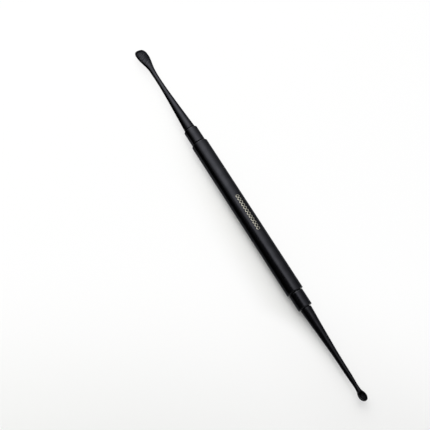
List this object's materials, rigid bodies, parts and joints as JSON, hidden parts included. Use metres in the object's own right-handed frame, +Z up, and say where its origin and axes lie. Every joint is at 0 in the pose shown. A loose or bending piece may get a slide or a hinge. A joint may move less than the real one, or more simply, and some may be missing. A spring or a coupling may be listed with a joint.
{
  "type": "nail curette",
  "caption": "Slim satin-black nail curette: round hollow handle, stepped collars, tapered shanks, a large blunt shallow spoon at one end and a small deep cup at the other.",
  "frame": {"origin": "midway along the whole tool, on its centre plane, at the surface the handle rests on", "axes": "+X along the tool from the large spoon to the small cup, +Y across it, +Z up; the cup opens up (+Z) and the spoon opens down (-Z)"},
  "size_m": [0.1462, 0.006, 0.006],
  "materials": {
    "handle_black": "satin",
    "large_collar_black": "satin",
    "small_collar_black": "satin",
    "large_spoon_black": "satin",
    "small_cup_black": "satin"
  },
  "bodies": {
    "root": {"handle_tube": "handle_black", "large_end_collar": "large_collar_black", "small_end_collar": "small_collar_black", "large_spoon_shank": "large_spoon_black", "small_cup_shank": "small_cup_black"}
  },
  "joints": []
}
